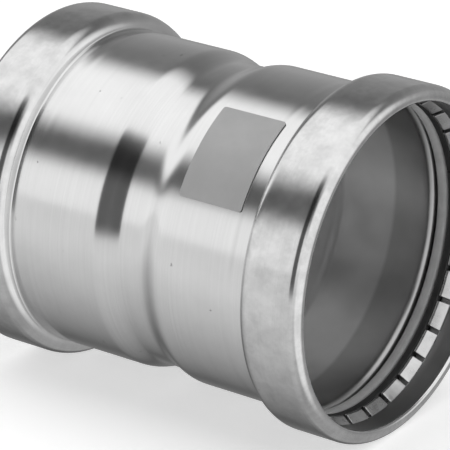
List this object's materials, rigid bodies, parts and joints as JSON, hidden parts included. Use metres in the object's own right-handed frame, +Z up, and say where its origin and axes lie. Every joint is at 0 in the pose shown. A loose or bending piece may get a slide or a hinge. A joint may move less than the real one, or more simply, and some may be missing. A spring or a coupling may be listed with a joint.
{
  "type": "press coupling",
  "caption": "Stainless steel press coupling that joins two 88.9 mm pipes, with a cutting ring, separator ring and seal in each end.",
  "frame": {"origin": "the middle of the coupling, on its axis", "axes": "+X along the axis, out of the right-hand mouth; +Z up, with the coupling lying on its two beads"},
  "size_m": [0.12, 0.1018, 0.1018],
  "materials": {
    "body_steel": "satin",
    "ring_steel": "satin",
    "separator_plastic": "matte",
    "seal_rubber": "satin",
    "label_film": "matte"
  },
  "bodies": {
    "fitting": {"press_body": "body_steel", "sealing_ring_right": "seal_rubber", "sealing_ring_left": "seal_rubber", "pressure_label": "label_film"},
    "right_cutter": {"cutting_ring_right": "ring_steel"},
    "right_separator": {"separator_ring_right": "separator_plastic"},
    "left_cutter": {"cutting_ring_left": "ring_steel"},
    "left_separator": {"separator_ring_left": "separator_plastic"}
  },
  "joints": [
    {"name": "right_cutter_turn", "type": "hinge", "parent": "fitting", "child": "right_cutter", "pos_m": [0.0508, 0, 0], "axis": [1, 0, 0], "continuous": true},
    {"name": "right_separator_turn", "type": "hinge", "parent": "fitting", "child": "right_separator", "pos_m": [0.0476, 0, 0], "axis": [1, 0, 0], "continuous": true},
    {"name": "left_cutter_turn", "type": "hinge", "parent": "fitting", "child": "left_cutter", "pos_m": [-0.0508, 0, 0], "axis": [1, 0, 0], "continuous": true},
    {"name": "left_separator_turn", "type": "hinge", "parent": "fitting", "child": "left_separator", "pos_m": [-0.0476, 0, 0], "axis": [1, 0, 0], "continuous": true}
  ]
}
